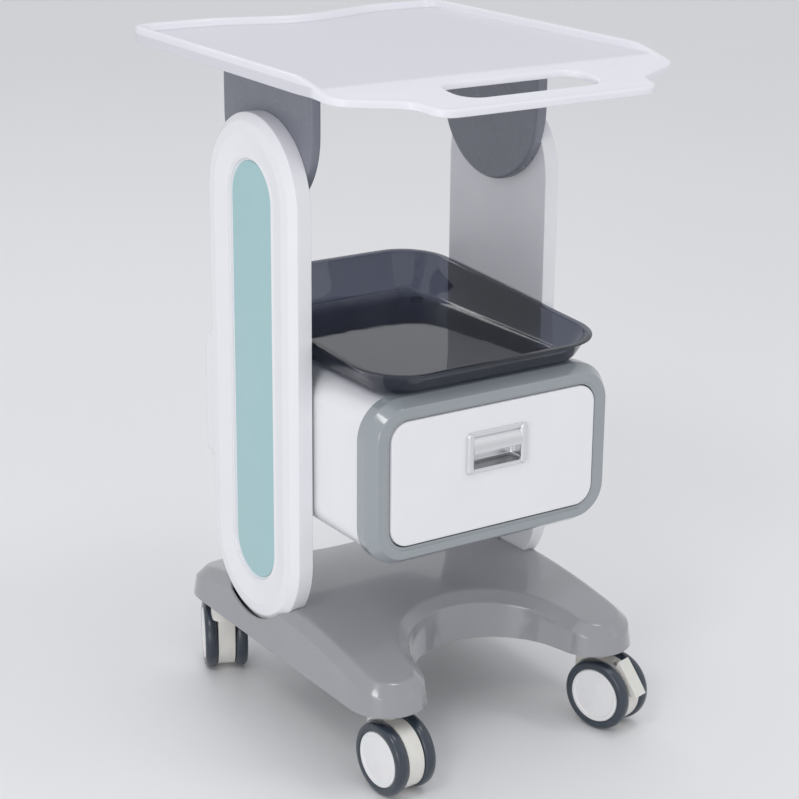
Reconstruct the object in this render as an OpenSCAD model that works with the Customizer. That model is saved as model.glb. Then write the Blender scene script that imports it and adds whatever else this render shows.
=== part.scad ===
// Medical equipment trolley: a top tray on two upright columns, a smoked
// lift-out tray and a drawer cabinet between them, and a base on four casters.
// Front is -Y, right is +X, and the origin is on the floor under the middle.

/* [Top tray] */
// Depth from the handle to the rear edge
tray_len = 626; // [500:2:740]
// Width across the front shoulders
tray_front_w = 522; // [440:2:620]
// Width across the rear corners
tray_rear_w = 508; // [420:2:600]
// Height of the rim above the floor
tray_top_z = 932; // [780:2:1100]
// How far the tray floor lies below the rim
rim_h = 10; // [6:1:16]
// Width of the raised rim
rim_w = 9; // [6:1:14]
// Depth of the skirt below the rim
skirt_h = 22; // [16:1:30]
// Wall of the tray moulding
tray_wall = 3.5; // [2:0.5:5]
// Width of the handle
grip_w = 336; // [280:2:400]
// Front-to-back depth of the handle bar
grip_bar = 35; // [25:1:45]
// Width of the hand slot
slot_w = 212; // [160:2:250]
// Front-to-back depth of the hand slot
slot_d = 66; // [40:1:80]
// Depth of the scoop in the rear edge
scoop_d = 34; // [10:1:50]

/* [Columns] */
// Clear gap between the two columns
column_gap = 371.4; // [320:0.2:420]
// Front-to-back depth of a column
column_d = 228; // [180:2:260]
// Height of the lowest point of a column
column_z0 = 139.5; // [130:0.5:150]
// From the top tray's rim down to the tops of the columns
column_drop = 83; // [60:1:120]
// Distance of the columns' centre behind the middle
column_y = 57.5; // [20:0.5:80]
// Thickness of a column at its outer edge
column_t = 23.3; // [20:0.1:30]
// How far the ring's crest stands out of that edge
ring_h = 7; // [3:0.5:10]
// Wall of the column mouldings
shell_wall = 2.5; // [2:0.5:4]
// Width of the accent strip
strip_w = 102; // [70:1:120]
// Thickness of the accent strip
strip_t = 2.3; // [1.5:0.1:3]
// Thickness of an ear bracket
ear_t = 16; // [10:1:22]
// Front-to-back width of a steel post
post_d = 60; // [40:1:80]
// Thickness of a steel post
post_t = 12; // [10:0.5:14]

/* [Cabinet] */
// Width of the cabinet
cabinet_w = 363; // [300:1:400]
// Height of the cabinet's underside
cabinet_z0 = 304; // [260:1:330]
// Height of the cabinet
cabinet_h = 213; // [180:1:240]
// Front-to-back length of the cabinet
cabinet_len = 423; // [340:1:460]
// Corner radius of the cabinet
cabinet_r = 34; // [15:1:45]
// Wall of the cabinet
cabinet_wall = 4; // [3:0.5:6]
// How far the bezel stands out round the cabinet
bezel_lip = 9.5; // [6:0.5:14]
// Front-to-back depth of the bezel
bezel_d = 34.6; // [25:0.1:45]
// From the cabinet's side to the edge of the drawer's front
drawer_side = 19.5; // [14:0.5:40]
// Height of the drawer front
drawer_h = 170; // [130:1:180]
// Thickness of the drawer front
front_t = 18; // [14:1:22]
// Length of the drawer box
box_len = 355; // [280:1:380]
// Wall of the drawer box
box_wall = 3; // [2:0.5:4]
// How far the drawer pulls out
drawer_travel = 300; // [200:5:320]
// Width of the pull
pull_w = 96; // [70:1:120]
// Height of the pull
pull_h = 57; // [45:1:70]

/* [Lift-out tray] */
// Width over the flange
smoked_w = 366; // [310:1:368]
// Length over the flange
smoked_len = 460; // [380:1:480]
// Height of the flange above the tray's underside, at the front
smoked_h = 33; // [25:1:60]
// Corner radius of the flange
smoked_r = 72; // [40:1:90]
// Wall of the tray
smoked_wall = 2.6; // [2:0.1:4]

/* [Base] */
// Width of the base at its bottom edge
base_w = 450; // [400:2:520]
// Length of the base at its bottom edge
base_len = 527; // [460:1:560]
// Height of the base's underside
base_z = 116; // [112:0.5:124]
// Thickness of the base at its middle
base_h = 68; // [50:1:80]
// How much lower the legs' tips are than the middle
base_drop = 34; // [15:1:40]
// Radius of a leg's tip
tip_r = 55; // [45:1:65]
// Wall of the base moulding
base_wall = 3.5; // [2.5:0.5:5]
// Height of the chassis tubes
tube_h = 13; // [9:0.5:13]
// Width of the chassis side rails
rail_w = 40; // [30:1:50]
// Wall of the steel tubes
tube_wall = 2.5; // [1.5:0.5:4]

/* [Casters] */
// Diameter of the wheels
wheel_d = 100; // [80:1:104]
// Width of one wheel
wheel_w = 18; // [14:1:22]
// Diameter of the hub inside the tyre
hub_d = 76; // [56:1:80]
// Width of the hood between the wheels
hood_w = 24; // [18:1:30]
// Distance from the swivel axis to the axle
trail = 28; // [20:1:32]
// Diameter of the axle
axle_d = 10; // [8:0.5:12]
// Diameter of the swivel pin
pin_d = 14; // [12:0.5:16]

/* [Clearances] */
// Radial clearance of a shaft in its bore
running = 0.05; // [0.02:0.01:0.1]
// Gap between parts that slide or turn past each other
gap = 1; // [0.5:0.1:1.5]
// Gap round the drawer front
reveal = 1.5; // [1:0.1:3]

/* [Hidden] */
$fn = 64;
corners = ["fl", "fr", "rl", "rr"];
caster_parts = ["stem", "hood", "axle", "outer_hub", "outer_tyre", "inner_hub", "inner_tyre"];
sides = ["left", "right"];
side_parts = ["column_shell", "column_cover", "accent_strip", "post", "ear",
              "cabinet_rail", "mid_rail", "drawer_rail"];
eps = 0.01;

// Which way each caster points: the turn from the swivel axis to the axle
caster_turn = [274, 286, 66, 80];
// Which of a caster's two wheels is the outer one
outer_side = [-1, 1, 1, -1];
braked = [false, true, true, false];

// Columns
column_z1 = tray_top_z - column_drop;
column_x = column_gap / 2;
column_r = column_d / 2;
edge_x = column_x + column_t;
column_low = column_z0 + column_r;
column_high = column_z1 - column_r;
cover_x = column_x + shell_wall;
post_x = cover_x + 0.3;
strip_r = strip_w / 2;
strip_x = edge_x - strip_t;
bolt_r = 4;
bolt_hole_r = 4.2;
bolt_head_r = 6.5;
bolt_head_t = 2.8;
bolt_dy = 18;
ear_z = column_z1 - 15;
ear_bolt_z = [column_z1 - 69, column_z1 - 29];

// Top tray
tray_y0 = -tray_len / 2;
tray_y1 = tray_len / 2;
floor_z = tray_top_z - rim_h;
grip_r = 24;
neck_r = 30;
neck_sweep = 25;
shoulder_r = 36;
shoulder_y = tray_y0 + grip_r + neck_r * sin(90 + neck_sweep)
    + (tray_front_w / 2 - shoulder_r + shoulder_r * cos(neck_sweep - 90)
       - grip_w / 2 - neck_r - neck_r * cos(90 + neck_sweep)) * tan(neck_sweep)
    - shoulder_r * sin(neck_sweep - 90);
side_a = atan((tray_front_w - tray_rear_w) / 2 / tray_len);
corner_r = 30;
scoop_w = 155;
slope = 6.3;
lip_t = 10;
slot_y0 = tray_y0 + grip_bar;
slot_y1 = slot_y0 + slot_d;
slot_r = 26;
crease_y = slot_y1 + 28;
rim_fade = 80;

// Cabinet and drawer
cabinet_y0 = -176;
cabinet_y1 = cabinet_y0 + cabinet_len;
cabinet_z1 = cabinet_z0 + cabinet_h;
cabinet_zc = cabinet_z0 + cabinet_h / 2;
cabinet_bolt_z = [cabinet_z0 + 56, cabinet_z1 - 37];
cabinet_pad = column_x - cabinet_w / 2;
drawer_w = cabinet_w - 2 * drawer_side;
face_y = cabinet_y0 - bezel_d;
bezel_w = cabinet_w + 2 * bezel_lip + 2;
bezel_h = cabinet_h + bezel_lip + 3;
bezel_z = cabinet_zc - (bezel_lip - 3) / 4 - 0.2;
bezel_r = 54;
bezel_bevel = 9;
drawer_z = bezel_z + 0.3;
drawer_r = 27;
box_hw = drawer_w / 2 - 16;
box_z0 = drawer_z - drawer_h / 2 + 6;
box_h = drawer_h - 20;
box_y0 = face_y + front_t;
rail_z = drawer_z - 10;
rail_len = box_len - 5;
rail_y0 = box_y0 + 3;
rail_h = 45;
slide_gap = 0.4;
steel_t = 1.5;
rail_in = box_hw;
rail_out = rail_in + 15;
mid_h = rail_h - 2 * steel_t - 2 * slide_gap;
inner_h = mid_h - 2 * steel_t - 2 * slide_gap;
pull_z = drawer_z + 23.5;
pull_r = 6;
cup_w = pull_w - 12;
cup_h = pull_h - 10;
cup_wall = 1.5;
cup_d = front_t + 4;
hood_h = pull_h * 0.42;
hood_z = pull_z + pull_h / 2 - hood_h - 2;

// Lift-out tray
smoked_z0 = cabinet_z1 + 5.2;
smoked_yc = 10;
smoked_tilt = 0.06;
flange_w = 6;
flange_t = 2.6;
flare = 26;
foot_r = 9;

// Base
base_y0 = -269;
base_y1 = base_y0 + base_len;
base_yc = -12;
tip_x = base_w / 2 - tip_r;
tip_y0 = base_y0 + tip_r;
tip_y1 = base_y1 - tip_r;
arch_r = tip_x - tip_r;
arch_run = 15;
rear_arch_r = 200;
rear_arch_y = 178;
draft = 0.16;
base_steps = 16;
frame_z = base_z + 6;
frame_z1 = frame_z + tube_h;
pocket_gap = 0.5;
post_room = 1.5;
front_swivel = [tip_x + 3, tip_y0 + 2.5];
rear_swivel = [tip_x + 20, tip_y1 - 19];
rail_x = (front_swivel.x + rear_swivel.x) / 2;
swivel = [[-front_swivel.x, front_swivel.y], front_swivel, [-rear_swivel.x, rear_swivel.y], rear_swivel];

// Casters
wheel_r = wheel_d / 2;
hub_r = hub_d / 2;
axle_r = axle_d / 2;
pin_r = pin_d / 2;
hood_r = wheel_r - 4;
collar_r = 21;
collar_z = base_z - 5.5;
flange_z = collar_z + 1.5;
wheel_in = hood_w / 2 + gap;
axle_len = 2 * (wheel_in + wheel_w - 3.5);
tyre_round = 6;
stem_r = 6;
pedal_pivot = [trail + 16, wheel_r + 36];
pedal_pin_r = 2;
pedal_lug_w = 12;
pedal_w = hood_w - 1;
pedal_in_r = hood_r + gap;
pedal_from = 8;
pedal_to = 64;

// ---- outlines ----

// Points along an arc, moved inwards by d: an arc drawn clockwise is a hollow one
function arc_pts(c, r, a0, a1, n, d = 0) =
    let (turn = a1 > a0 ? 1 : -1)
    [for (i = [0:n]) let (a = a0 + (a1 - a0) * i / n) c + (r - turn * d) * [cos(a), sin(a)]];

function mirror_x(p) = [for (i = [len(p) - 1:-1:0]) [-p[i].x, p[i].y]];

// A rounded rectangle between two corners
function round_rect(x0, y0, x1, y1, r, n = 8) = concat(
    arc_pts([x1 - r, y0 + r], r, -90, 0, n),
    arc_pts([x1 - r, y1 - r], r, 0, 90, n),
    arc_pts([x0 + r, y1 - r], r, 90, 180, n),
    arc_pts([x0 + r, y0 + r], r, 180, 270, n));

// Rear edge of the top tray: a shallow scoop
function scoop_y(x) = tray_y1 - scoop_d * (1 + cos(180 * x / scoop_w)) / 2;
function scoop_slope(x) = scoop_d * 90 * (PI / 180) / scoop_w * sin(180 * x / scoop_w);
function scoop_pt(x, d) =
    let (m = scoop_slope(x))
    [x, scoop_y(x)] - d * [-m, 1] / norm([m, 1]);

function tray_half(d) = concat(
    arc_pts([grip_w / 2 - grip_r, tray_y0 + grip_r], grip_r, -90, 0, 5, d),
    arc_pts([grip_w / 2 + neck_r, tray_y0 + grip_r], neck_r, 180, 90 + neck_sweep, 5, d),
    arc_pts([tray_front_w / 2 - shoulder_r, shoulder_y], shoulder_r, neck_sweep - 90, side_a, 6, d),
    arc_pts([tray_rear_w / 2 - corner_r, tray_y1 - corner_r], corner_r, side_a, 90, 5, d),
    [for (i = [0:9]) scoop_pt(scoop_w * (1 - i / 10), d)]);

function tray_outline(d) = concat(tray_half(d), [scoop_pt(0, d)], mirror_x(tray_half(d)));

// One side of the base seen from above: two legs that end in round tips
function leg_outline(x, r) = concat(
    arc_pts([x, tip_y0], r, 180, 360, 16), arc_pts([x, tip_y1], r, 0, 180, 16));

// ---- shared shapes ----

// Extrudes an outline given in Y and Z along X
module across(x0, x1) translate([x0, 0, 0]) rotate([90, 0, 90]) linear_extrude(x1 - x0) children();

// Extrudes an outline given in X and Z along +Y
module along(y0, y1) translate([0, y1, 0]) rotate([90, 0, 0]) linear_extrude(y1 - y0) children();

// An upright stadium outline in Y and Z
module stadium(r) {
    translate([column_y - r, column_low]) square([2 * r, column_high - column_low]);
    for (z = [column_low, column_high]) translate([column_y, z]) circle(r);
}

// Sweeps a half section, given as distance from the centre line and X, round a column
module round_column() {
    for (s = [0, 1])
        translate([0, column_y, s == 0 ? column_low : column_high])
            rotate([s == 0 ? 180 : 0, 0, 0]) rotate([90, 0, 90])
                rotate_extrude(angle = 180, $fn = 96) children();
    for (s = [-1, 1])
        translate([0, column_y, column_low]) rotate([0, 0, s > 0 ? 90 : -90])
            mirror([0, s > 0 ? 1 : 0, 0])
                linear_extrude(column_high - column_low) children();
}

module at_side(i) mirror([i == 0 ? 1 : 0, 0, 0]) children();

module bolts_at(r, x0, x1, zs)
    for (z = zs) for (y = [-bolt_dy, bolt_dy])
        translate([x0, column_y + y, z]) rotate([0, 90, 0]) cylinder(r = r, h = x1 - x0);

// A ring-by-ring skin: every ring has the same number of points
module skin(rings) {
    n = len(rings[0]);
    m = len(rings);
    polyhedron(
        points = [for (r = rings) for (p = r) p],
        faces = concat(
            [[for (i = [0:n - 1]) i]],
            [for (j = [0:m - 2]) for (i = [0:n - 1]) let (a = j * n + i, b = j * n + (i + 1) % n)
                for (f = [[a, b + n, b], [a, a + n, b + n]]) f],
            [[for (i = [n - 1:-1:0]) (m - 1) * n + i]]),
        convexity = 8);
}

function raise(p, z) = [for (q = p) [q.x, q.y, z]];

// ---- top tray ----

function front_z(y) = floor_z - max(0, crease_y - y) * tan(slope);

// Side view of the tray's top edge: the rim falls to the handle
function rim_z(y) =
    let (t = min(1, max(0, (shoulder_y + rim_fade - 10 - y) / rim_fade)))
    tray_top_z + (front_z(y) - tray_top_z) * (1 - cos(180 * t)) / 2;
function under_z(y) =
    let (t = min(1, max(0, (shoulder_y + rim_fade - 10 - y) / rim_fade)))
    tray_top_z - skirt_h + (front_z(y) - lip_t - tray_top_z + skirt_h) * (1 - cos(180 * t)) / 2;
fade_y = [for (i = [0:10]) shoulder_y - 10 + rim_fade * (1 - i / 10)];

module top_tray() color("whitesmoke") difference() {
    intersection() {
        translate([0, 0, floor_z - 60]) linear_extrude(60 + rim_h) polygon(tray_outline(0));
        across(-tray_front_w, tray_front_w) polygon(concat(
            [[tray_y1 + 1, tray_top_z]], [for (y = fade_y) [y, rim_z(y)]],
            [[tray_y0 - 1, rim_z(tray_y0 - 1)], [tray_y0 - 1, under_z(tray_y0 - 1)]],
            [for (i = [10:-1:0]) [fade_y[i], under_z(fade_y[i])]],
            [[tray_y1 + 1, tray_top_z - skirt_h]]));
    }
    intersection() {
        translate([0, 0, floor_z - 60]) linear_extrude(80) polygon(tray_outline(rim_w));
        across(-tray_front_w, tray_front_w) polygon([
            [tray_y1, floor_z], [tray_y1, tray_top_z + 1], [tray_y0, tray_top_z + 1],
            [tray_y0, front_z(tray_y0)], [crease_y, floor_z]]);
    }
    intersection() {
        translate([0, 0, floor_z - 61]) linear_extrude(61 - tray_wall) polygon(tray_outline(tray_wall));
        translate([-tray_front_w, crease_y, 0]) cube([2 * tray_front_w, tray_len, tray_top_z]);
    }
    translate([0, 0, floor_z - 60]) linear_extrude(80)
        polygon(round_rect(-slot_w / 2, slot_y0, slot_w / 2, slot_y1, slot_r));
}

// ---- columns, one side ----

// Half section of the column's outer skin: distance from the centre line, then X
ring_outer = [[column_r, edge_x - 1], [column_r - 4, edge_x + ring_h * 0.5],
              [column_r - 12, edge_x + ring_h * 0.9], [column_r - 26, edge_x + ring_h],
              [strip_r + 8, edge_x + ring_h * 0.55], [strip_r + 2.5, edge_x + ring_h * 0.2]];

module column_shell() color("white") difference() {
    round_column() difference() {
        polygon(concat(
            [[0, strip_x], [0, column_x], [column_r, column_x]], ring_outer,
            [[strip_r + 0.3, edge_x - 0.5], [strip_r + 0.3, strip_x]]));
        polygon([[-1, column_x - 1], [-1, strip_x - shell_wall], [strip_r + 3, strip_x - shell_wall],
                 [strip_r + 9, edge_x + ring_h * 0.55 - shell_wall - 0.5],
                 [column_r - 26, edge_x + ring_h - shell_wall - 0.5],
                 [column_r - 13, edge_x + ring_h * 0.9 - shell_wall - 0.5],
                 [column_r - shell_wall, edge_x - 2], [column_r - shell_wall, column_x - 1]]);
    }
    translate([column_x - 1, column_y - post_d / 2 - 1, column_z0 - 1])
        cube([post_t + shell_wall + 2, post_d + 2, column_r]);
}

module column_cover() color("gainsboro") difference() {
    across(column_x, cover_x) stadium(column_r - shell_wall - 0.1);
    translate([column_x - 1, column_y - post_d / 2 - 1, 0])
        cube([post_t, post_d + 2, base_z + base_h + 4]);
    bolts_at(bolt_hole_r, column_x - 1, cover_x + 1, concat(ear_bolt_z, cabinet_bolt_z));
}

module accent_strip() color("paleturquoise") across(strip_x, edge_x) stadium(strip_r);

module post() color("dimgray") difference() {
    translate([post_x, column_y - post_d / 2, frame_z1 + 0.01])
        cube([post_t, post_d, column_z1 - 18 - frame_z1]);
    translate([post_x + tube_wall, column_y - post_d / 2 + tube_wall, frame_z1 - 1])
        cube([post_t - 2 * tube_wall, post_d - 2 * tube_wall, column_z1]);
    bolts_at(bolt_hole_r, post_x - 1, post_x + post_t + 1, concat(ear_bolt_z, cabinet_bolt_z));
}

module ear() color("slategray") difference() {
    across(column_x - ear_t, column_x) {
        translate([column_y - column_r, ear_z]) square([column_d, floor_z - tray_wall - ear_z]);
        intersection() {
            translate([column_y, ear_z]) circle(column_r);
            translate([column_y - column_r, ear_z - column_r]) square([column_d, column_r + 1]);
        }
    }
    bolts_at(bolt_hole_r, column_x - ear_t + 4, column_x + 1, ear_bolt_z);
}

module frame_bolts() color("silver") for (i = [0, 1]) at_side(i) {
    bolts_at(bolt_r, column_x - ear_t + 5, post_x + post_t + eps, ear_bolt_z);
    bolts_at(bolt_r, cabinet_w / 2 - cabinet_wall - 3, post_x + post_t + eps, cabinet_bolt_z);
    bolts_at(bolt_head_r, post_x + post_t, post_x + post_t + bolt_head_t, concat(ear_bolt_z, cabinet_bolt_z));
}

// ---- cabinet and drawer ----

module cabinet_shell() color("white") difference() {
    union() {
        along(cabinet_y0, cabinet_y1)
            polygon(round_rect(-cabinet_w / 2, cabinet_z0, cabinet_w / 2, cabinet_z1, cabinet_r));
        for (s = [-1, 1]) translate([s > 0 ? cabinet_w / 2 - 1 : -column_x, column_y - post_d / 2, cabinet_z0 + 40])
            cube([cabinet_pad + 1, post_d, cabinet_h - 60]);
    }
    along(cabinet_y0 - 1, cabinet_y1 - cabinet_wall)
        polygon(round_rect(-cabinet_w / 2 + cabinet_wall, cabinet_z0 + cabinet_wall,
                           cabinet_w / 2 - cabinet_wall, cabinet_z1 - cabinet_wall,
                           cabinet_r - cabinet_wall));
    for (i = [0, 1]) at_side(i)
        bolts_at(bolt_hole_r, cabinet_w / 2 - cabinet_wall - 1, column_x + 1, cabinet_bolt_z);
}

module frame_rect(w, h, r) polygon(round_rect(-w / 2, bezel_z - h / 2, w / 2, bezel_z + h / 2, r));

module cabinet_bezel() color("lightslategray") difference() {
    hull() {
        along(face_y + bezel_bevel * 2, cabinet_y0) frame_rect(bezel_w, bezel_h, bezel_r);
        along(face_y, cabinet_y0) frame_rect(bezel_w - 2 * bezel_bevel, bezel_h - 2 * bezel_bevel, bezel_r - bezel_bevel);
    }
    along(face_y - 1, cabinet_y0 + 1)
        frame_rect(drawer_w + 2 * reveal, drawer_h + 2 * reveal, drawer_r + reveal);
}

module pull_rect(w, h, r) translate([0, pull_z]) polygon(round_rect(-w / 2, -h / 2, w / 2, h / 2, r));

module drawer_front() color("white") difference() {
    along(face_y, box_y0) polygon(round_rect(-drawer_w / 2, drawer_z - drawer_h / 2,
                                             drawer_w / 2, drawer_z + drawer_h / 2, drawer_r));
    along(face_y - 1, box_y0 + 1) pull_rect(cup_w + 0.4, cup_h + 0.4, pull_r);
}

module drawer_box() color("gainsboro") difference() {
    translate([-box_hw, box_y0, box_z0]) cube([2 * box_hw, box_len, box_h]);
    translate([-box_hw + box_wall, box_y0 + box_wall + 2, box_z0 + box_wall])
        cube([2 * (box_hw - box_wall), box_len - 2 * box_wall - 2, box_h]);
    along(box_y0 - 1, box_y0 + box_wall + 3) pull_rect(cup_w + 0.4, cup_h + 0.4, pull_r);
}

module pull_frame() color("silver") difference() {
    union() {
        along(face_y - 3, face_y) pull_rect(pull_w, pull_h, pull_r);
        along(face_y - 1, face_y + cup_d) pull_rect(cup_w, cup_h, pull_r);
    }
    along(face_y - 4, face_y + cup_d - cup_wall) pull_rect(cup_w - 2 * cup_wall, cup_h - 2 * cup_wall, pull_r - cup_wall);
}

// A curved hood over the upper part of the cup, for the fingers to pull on
module pull_grip() color("silver") intersection() {
    along(face_y - 30, box_y0) pull_rect(cup_w - 2 * cup_wall, cup_h - 2 * cup_wall, pull_r - cup_wall);
    translate([-cup_w / 2 + cup_wall, face_y + 10, hood_z]) rotate([0, 90, 0])
        difference() {
            cylinder(r = hood_h - 3, h = cup_w - 2 * cup_wall);
            translate([0, 0, -1]) cylinder(r = hood_h - 5, h = cup_w);
        }
    translate([-cup_w, face_y - 30, hood_z]) cube([2 * cup_w, 36, pull_z + cup_h / 2 - cup_wall - hood_z]);
}

// ---- drawer rails, one side: cabinet, intermediate and drawer members ----

module channel(x0, x1, h, open) difference() {
    translate([x0, rail_y0, rail_z - h / 2]) cube([x1 - x0, rail_len, h]);
    translate([open > 0 ? x0 + steel_t : x0 - 1, rail_y0 - 1, rail_z - h / 2 + steel_t])
        cube([x1 - x0 - steel_t + 1, rail_len + 2, h - 2 * steel_t]);
}

module cabinet_rail() color("silver") {
    channel(rail_in + steel_t + slide_gap, rail_out, rail_h, 0);
    for (y = [rail_y0 + 40, rail_y0 + rail_len - 70])
        translate([rail_out, y, rail_z - 14]) cube([cabinet_w / 2 - cabinet_wall - rail_out, 22, 28]);
}

module mid_rail() color("silver")
    channel(rail_in + steel_t + slide_gap, rail_out - steel_t - slide_gap, mid_h, 0);

module drawer_rail() color("silver") {
    channel(rail_in + steel_t - eps, rail_out - 2 * steel_t - 2 * slide_gap - 2, inner_h, 1);
    translate([rail_in, rail_y0, rail_z - inner_h / 2]) cube([steel_t, rail_len, inner_h]);
}

// ---- lift-out tray ----

function smoked_ring(inset, r) = round_rect(
    -smoked_w / 2 + inset, smoked_yc - smoked_len / 2 + inset,
    smoked_w / 2 - inset, smoked_yc + smoked_len / 2 - inset, r);
function smoked_rim_z(y) = smoked_z0 + smoked_h + smoked_tilt * (y - smoked_yc + smoked_len / 2);
function at_rim(p, dz) = [for (q = p) [q.x, q.y, smoked_rim_z(q.y) + dz]];

module smoked_tray() color("#50565f", 0.6) {
    wall_top = smoked_ring(flange_w, smoked_r - flange_w);
    mouth = smoked_ring(flange_w + smoked_wall, smoked_r - flange_w - smoked_wall);
    skin([
        raise(smoked_ring(flare, smoked_r - flare), smoked_z0),
        at_rim(wall_top, -flange_t),
        at_rim(smoked_ring(0, smoked_r), -flange_t),
        at_rim(smoked_ring(0, smoked_r), 0),
        at_rim(mouth, 0),
        raise(smoked_ring(flare + smoked_wall, smoked_r - flare - smoked_wall), smoked_z0 + smoked_wall)]);
    for (x = [-1, 1]) for (y = [-1, 1])
        translate([x * (smoked_w / 2 - 55), smoked_yc + 8 + y * (smoked_len / 2 - 80), cabinet_z1])
            cylinder(r = foot_r, h = smoked_z0 - cabinet_z1 + eps);
}

// ---- base ----

// The base moulding inset by d: two long legs and a middle with an arch at each end
module base_body(d, z0, z1) {
    rise = (z1 - z0) * draft;
    for (s = [-1, 1]) skin([
        raise(leg_outline(s * tip_x, tip_r - d), z0),
        raise(leg_outline(s * tip_x, tip_r - d - rise), z1)]);
    difference() {
        translate([-tip_x, tip_y0, z0]) cube([2 * tip_x, tip_y1 + arch_run - tip_y0, z1 - z0]);
        translate([0, tip_y0 - arch_run, z0])
            cylinder(r1 = arch_r + d, r2 = arch_r + d + rise, h = z1 - z0, $fn = 96);
        translate([0, rear_arch_y + rear_arch_r, z0])
            cylinder(r1 = rear_arch_r + d, r2 = rear_arch_r + d + rise, h = z1 - z0, $fn = 96);
    }
}

// Side view of the base: highest at the middle, lower at the legs' tips
module base_profile(lower, z0) across(-base_w, base_w) polygon(concat(
    [[base_y1 + 5, z0], [base_y0 - 5, z0]],
    [for (i = [0:base_steps]) let (y = base_y0 - 5 + (base_len + 10) * i / base_steps)
        [y, base_z + base_h - lower - base_drop * pow((y - base_yc) / (base_len / 2), 2)]]));

module base_shell() color("gray") difference() {
    intersection() {
        base_body(0, base_z, base_z + base_h + 4);
        base_profile(0, base_z - 1);
    }
    difference() {
        intersection() {
            base_body(base_wall, base_z - 1, base_z + base_h);
            base_profile(base_wall, base_z - 2);
        }
        for (i = [0, 1]) at_side(i)
            across(column_x - base_wall - pocket_gap, base_w) stadium(column_r + base_wall + pocket_gap);
    }
    for (i = [0, 1]) at_side(i) {
        across(column_x - pocket_gap, base_w) stadium(column_r + pocket_gap);
        translate([post_x - post_room, column_y - post_d / 2 - post_room, base_z])
            cube([post_t + 2 * post_room, post_d + 2 * post_room, base_h]);
    }
}

module tube(x0, y0, x1, y1) translate([x0, y0, frame_z]) cube([x1 - x0, y1 - y0, tube_h]);

module chassis(d) {
    for (s = [-1, 1]) tube(s * rail_x - rail_w / 2 + d, tip_y0 - 22 + d, s * rail_x + rail_w / 2 - d, tip_y1 + 22 - d);
    tube(-post_x - post_t + d, column_y - post_d / 2 + d, post_x + post_t - d, column_y + post_d / 2 - d);
    tube(-rail_x + d, column_y - 120 + d, rail_x - d, column_y - 80 - d);
}

module base_frame() color("dimgray") difference() {
    chassis(0);
    difference() {
        translate([0, 0, tube_wall]) chassis(tube_wall);
        translate([0, 0, frame_z1 - tube_wall + frame_z1 / 2])
            cube([2 * base_w, 2 * base_len, frame_z1], center = true);
        for (s = swivel) translate([s.x, s.y, frame_z]) cylinder(r = stem_r + 6, h = tube_h);
    }
    for (s = swivel) translate([s.x, s.y, frame_z - 1]) cylinder(r = stem_r + 0.2, h = tube_h + 2);
}

// ---- casters: swivel axis at the origin, axle towards +X, wheels along Y ----

module caster_stem() color("silver") {
    translate([0, 0, collar_z - 26]) cylinder(r = pin_r, h = 27);
    translate([0, 0, flange_z]) cylinder(r = 24, h = frame_z - flange_z);
    translate([0, 0, flange_z - eps]) cylinder(r = stem_r, h = frame_z1 + 12 - flange_z);
    translate([0, 0, frame_z1]) cylinder(r = 10, h = 8, $fn = 6);
}

module caster_hood(brake) color("ivory") difference() {
    union() {
        translate([0, 0, collar_z - 24]) cylinder(r = collar_r, h = 24);
        translate([trail, hood_w / 2, wheel_r]) rotate([90, 0, 0]) cylinder(r = hood_r, h = hood_w);
        translate([-collar_r + 3, -hood_w / 2, wheel_r - 6]) cube([trail, hood_w, collar_z - wheel_r - 16]);
    }
    // room for the wheels beside the hood
    for (s = [-1, 1]) translate([trail, s * (hood_w / 2 + 20), wheel_r]) rotate([90, 0, 0])
        cylinder(r = wheel_r + 2, h = 40, center = true);
    translate([0, 0, collar_z - 27]) cylinder(r = pin_r + running, h = 30);
    translate([trail, hood_w, wheel_r]) rotate([90, 0, 0]) cylinder(r = axle_r, h = 2 * hood_w);
    if (brake) {
        translate([pedal_pivot.x, hood_w, pedal_pivot.y]) rotate([90, 0, 0]) cylinder(r = pedal_pin_r, h = 2 * hood_w);
        translate([pedal_pivot.x - 7, -pedal_lug_w / 2 - 0.5, pedal_pivot.y - 16]) cube([60, pedal_lug_w + 1, 40]);
    }
}

module caster_axle() color("silver") translate([trail, axle_len / 2, wheel_r])
    rotate([90, 0, 0]) cylinder(r = axle_r, h = axle_len);

// One wheel, its inner face at Y = 0 and its cap towards +Y
module wheel_turned(s) translate([trail, s * wheel_in, wheel_r]) rotate([-90 * s, 0, 0]) rotate_extrude($fn = 96) children();

module hub(s) color("lightgray") wheel_turned(s)
    polygon([[axle_r + running, 0], [hub_r, 0], [hub_r, wheel_w - 2], [hub_r - 2, wheel_w], [hub_r - 5, wheel_w],
             [hub_r - 6, wheel_w - 1.2], [0, wheel_w - 0.2], [0, wheel_w - 3], [axle_r + running, wheel_w - 3]]);

module tyre(s) color("#3f4752") wheel_turned(s) difference() {
    translate([hub_r, 0]) square([wheel_r - hub_r, wheel_w]);
    for (y = [0, wheel_w]) translate([wheel_r - tyre_round, y == 0 ? tyre_round : wheel_w - tyre_round])
        difference() {
            translate([0, y == 0 ? -tyre_round - 1 : 0]) square([tyre_round + 1, tyre_round + 1]);
            circle(tyre_round);
        }
}

// A rocker that follows the wheels' rim, with a raised lobe at each end and a lug to its pin
function pedal_lobe(a) = pedal_in_r + 5 + 6 * pow((2 * a - pedal_from - pedal_to) / (pedal_to - pedal_from), 2);
function at_angle(a, r) = [trail, wheel_r] + r * [cos(a), sin(a)];

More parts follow.
